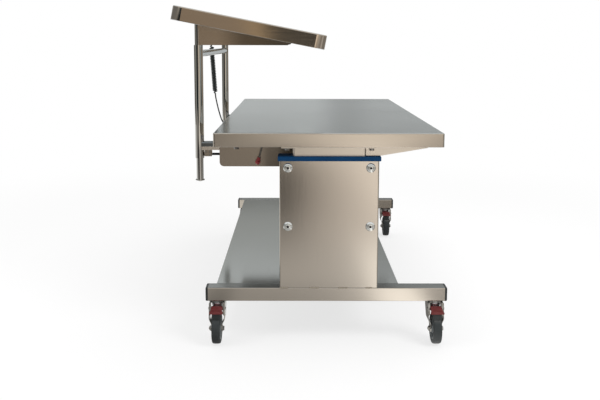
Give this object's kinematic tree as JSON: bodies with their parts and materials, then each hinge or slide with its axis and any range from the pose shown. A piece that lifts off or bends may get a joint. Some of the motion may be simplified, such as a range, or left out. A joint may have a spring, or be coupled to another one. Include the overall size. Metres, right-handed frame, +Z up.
{
  "type": "surgical back table",
  "caption": "Stainless steel two-tier instrument table on braked swivel casters, with an electric column lift, a height-adjustable sloped upper tier and a coiled cord.",
  "frame": {"origin": "on the floor under the middle of the object's bounding box, with the lift down and the upper tier as in the picture", "axes": "+Z up, +X towards the front edge of the tabletop (the open long side), +Y along the tabletop towards the end that is far from the camera"},
  "size_m": [0.924, 1.57, 1.1324],
  "materials": {
    "stainless_brushed": "satin",
    "stainless_satin": "satin",
    "chromed": "polished",
    "blue_plastic": "satin",
    "black_plastic": "matte",
    "black_metal": "satin",
    "red_plastic": "gloss",
    "grey_tyre": "matte",
    "grey_plastic": "matte",
    "grey_paint": "satin",
    "black_cord": "matte"
  },
  "bodies": {
    "base": {"base_rail_near": "stainless_brushed", "base_rail_far": "stainless_brushed", "rail_end_caps": "black_plastic", "base_stretchers": "stainless_brushed", "lower_shelf": "stainless_satin", "column_shroud_near": "stainless_brushed", "column_shroud_far": "stainless_brushed", "column_collars": "blue_plastic", "column_screws": "chromed", "column_foot_plates": "stainless_brushed", "lift_actuators": "grey_paint", "caster_stems": "chromed"},
    "lifting_top": {"tabletop": "stainless_satin", "tabletop_channels": "stainless_brushed", "tabletop_underside": "stainless_brushed", "inner_column_near": "stainless_brushed", "inner_column_far": "stainless_brushed", "actuator_rods": "chromed", "column_heads": "stainless_brushed", "cross_plate_near": "stainless_brushed", "cross_plate_far": "stainless_brushed", "under_table_stringers": "stainless_brushed", "table_bolts": "chromed", "post_sleeve_near": "chromed", "post_sleeve_far": "chromed", "post_arms": "stainless_brushed", "sleeve_bushes": "black_plastic", "cross_bar": "chromed", "control_box": "grey_paint", "lower_cord_gland": "black_plastic"},
    "upper_tier": {"upper_tray": "stainless_brushed", "upper_tray_channels": "stainless_brushed", "upper_tray_underside": "stainless_brushed", "tier_bracket_near": "stainless_brushed", "tier_bracket_far": "stainless_brushed", "inner_post_near": "chromed", "inner_post_far": "chromed", "post_feet": "chromed", "upper_cord_gland": "black_plastic", "coil_cord": "black_cord"},
    "latch_release": {"release_lever": "black_metal", "lever_knob": "red_plastic"},
    "near_latch": {"latch_near": "black_metal"},
    "far_latch": {"latch_far": "black_metal"},
    "near_back_swivel": {"near_back_fork": "chromed"},
    "near_back_wheel": {"near_back_hub": "grey_plastic", "near_back_tyre": "grey_tyre"},
    "near_back_brake": {"near_back_pedal": "red_plastic"},
    "near_front_swivel": {"near_front_fork": "chromed"},
    "near_front_wheel": {"near_front_hub": "grey_plastic", "near_front_tyre": "grey_tyre"},
    "near_front_brake": {"near_front_pedal": "red_plastic"},
    "far_back_swivel": {"far_back_fork": "chromed"},
    "far_back_wheel": {"far_back_hub": "grey_plastic", "far_back_tyre": "grey_tyre"},
    "far_back_brake": {"far_back_pedal": "red_plastic"},
    "far_front_swivel": {"far_front_fork": "chromed"},
    "far_front_wheel": {"far_front_hub": "grey_plastic", "far_front_tyre": "grey_tyre"},
    "far_front_brake": {"far_front_pedal": "red_plastic"}
  },
  "joints": [
    {"name": "lift_slide", "type": "slide", "parent": "base", "child": "lifting_top", "axis": [0, 0, 1], "range_m": [0, 0.3]},
    {"name": "tier_slide", "type": "slide", "parent": "lifting_top", "child": "upper_tier", "axis": [0, 0, 1], "range_m": [-0.055, 0.07], "deforming": ["coil_cord"]},
    {"name": "release_turn", "type": "hinge", "parent": "lifting_top", "child": "latch_release", "pos_m": [-0.171, 0.023, 0.652], "axis": [0, -1, 0], "range_deg": [0, 15], "stiffness_Nm_per_rad": 1.5, "springref_deg": -5.73},
    {"name": "near_latch_slide", "type": "slide", "parent": "lifting_top", "child": "near_latch", "axis": [1, 0, 0], "range_m": [0, 0.0108]},
    {"name": "far_latch_slide", "type": "slide", "parent": "lifting_top", "child": "far_latch", "axis": [1, 0, 0], "range_m": [0, 0.0108]},
    {"name": "near_back_swivel_turn", "type": "hinge", "parent": "base", "child": "near_back_swivel", "pos_m": [-0.319, -0.699, 0.13], "axis": [0, 0, 1], "continuous": true},
    {"name": "near_back_roll", "type": "hinge", "parent": "near_back_swivel", "child": "near_back_wheel", "pos_m": [-0.319, -0.734, 0.051], "axis": [1, 0, 0], "continuous": true},
    {"name": "near_back_pedal_press", "type": "hinge", "parent": "near_back_swivel", "child": "near_back_brake", "pos_m": [-0.319, -0.722, 0.116], "axis": [1, 0, 0], "range_deg": [-7, 0]},
    {"name": "near_front_swivel_turn", "type": "hinge", "parent": "base", "child": "near_front_swivel", "pos_m": [0.423, -0.699, 0.13], "axis": [0, 0, 1], "continuous": true},
    {"name": "near_front_roll", "type": "hinge", "parent": "near_front_swivel", "child": "near_front_wheel", "pos_m": [0.423, -0.734, 0.051], "axis": [1, 0, 0], "continuous": true},
    {"name": "near_front_pedal_press", "type": "hinge", "parent": "near_front_swivel", "child": "near_front_brake", "pos_m": [0.423, -0.722, 0.116], "axis": [1, 0, 0], "range_deg": [-7, 0]},
    {"name": "far_back_swivel_turn", "type": "hinge", "parent": "base", "child": "far_back_swivel", "pos_m": [-0.319, 0.745, 0.13], "axis": [0, 0, 1], "continuous": true},
    {"name": "far_back_roll", "type": "hinge", "parent": "far_back_swivel", "child": "far_back_wheel", "pos_m": [-0.319, 0.71, 0.051], "axis": [1, 0, 0], "continuous": true},
    {"name": "far_back_pedal_press", "type": "hinge", "parent": "far_back_swivel", "child": "far_back_brake", "pos_m": [-0.319, 0.722, 0.116], "axis": [1, 0, 0], "range_deg": [-7, 0]},
    {"name": "far_front_swivel_turn", "type": "hinge", "parent": "base", "child": "far_front_swivel", "pos_m": [0.423, 0.745, 0.13], "axis": [0, 0, 1], "continuous": true},
    {"name": "far_front_roll", "type": "hinge", "parent": "far_front_swivel", "child": "far_front_wheel", "pos_m": [0.423, 0.71, 0.051], "axis": [1, 0, 0], "continuous": true},
    {"name": "far_front_pedal_press", "type": "hinge", "parent": "far_front_swivel", "child": "far_front_brake", "pos_m": [0.423, 0.722, 0.116], "axis": [1, 0, 0], "range_deg": [-7, 0]}
  ],
  "couplings": [
    {"joint": "near_latch_slide", "follows": "release_turn", "m_per_rad": 0.041},
    {"joint": "far_latch_slide", "follows": "release_turn", "m_per_rad": 0.041}
  ]
}
